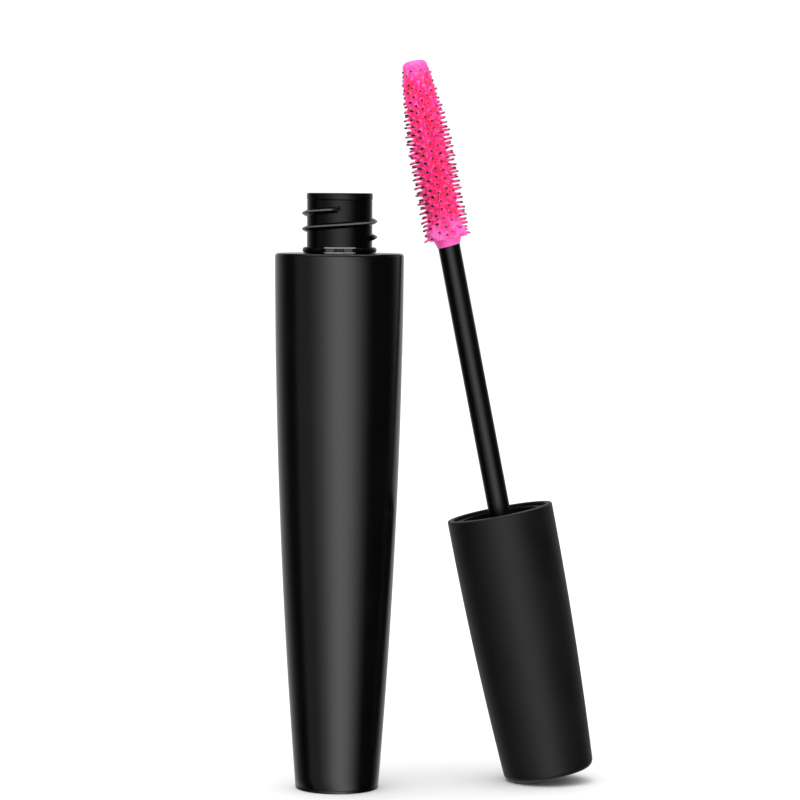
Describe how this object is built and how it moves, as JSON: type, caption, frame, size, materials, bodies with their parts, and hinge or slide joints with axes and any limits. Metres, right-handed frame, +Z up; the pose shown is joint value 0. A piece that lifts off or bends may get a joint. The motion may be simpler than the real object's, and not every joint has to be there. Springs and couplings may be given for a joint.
{
  "type": "mascara tube",
  "caption": "Open mascara: tapered black tube with a screw neck, and an unscrewed cap standing beside it with its rod and a brush coated in pink product.",
  "frame": {"origin": "middle of the tube's base, on the surface it stands on", "axes": "+Z up along the tube towards its neck, +X towards the applicator that stands beside it, -Y the front"},
  "size_m": [0.0519, 0.0269, 0.1171],
  "materials": {
    "shell_black": "gloss",
    "bottle_black": "satin",
    "wiper_black": "satin",
    "cap_black": "satin",
    "liner_white": "matte",
    "rod_black": "satin",
    "brush_black": "matte",
    "bristle_pink": "matte, coated with product",
    "paste_pink": "wet"
  },
  "bodies": {
    "tube": {"outer_shell": "shell_black", "base_plug": "shell_black", "inner_bottle": "bottle_black", "wiper": "wiper_black", "paste_fill": "paste_pink"},
    "tip_bead": {"tip_paste": "paste_pink"},
    "seal": {"cap_liner": "liner_white"},
    "root_bead": {"root_paste": "paste_pink"},
    "applicator": {"outer_cap": "cap_black", "inner_cap": "cap_black", "rod": "rod_black", "brush_core": "brush_black", "bristles": "bristle_pink"}
  },
  "joints": [
    {"name": "applicator_swing", "type": "hinge", "parent": "tube", "child": "tip_bead", "pos_m": [0.00646, 0.00434, 0.10793], "axis": [0.5139, -0.8564, 0.0504], "range_deg": [0, 170.4]},
    {"name": "applicator_insert", "type": "slide", "parent": "tip_bead", "child": "seal", "axis": [-0.1942, 0, 0.981], "range_m": [0, 0.08445], "deforming": ["bristles", "root_paste", "tip_paste"]},
    {"name": "cap_lift", "type": "slide", "parent": "seal", "child": "root_bead", "axis": [-0.1942, 0, 0.981], "range_m": [0, 0.00375]},
    {"name": "cap_twist", "type": "hinge", "parent": "root_bead", "child": "applicator", "pos_m": [0.02611, 0.008, 0.04406], "axis": [-0.1942, 0, 0.981], "range_deg": [0, 540]}
  ],
  "couplings": [
    {"joint": "cap_lift", "follows": "cap_twist", "m_per_rad": 0.00039789}
  ]
}
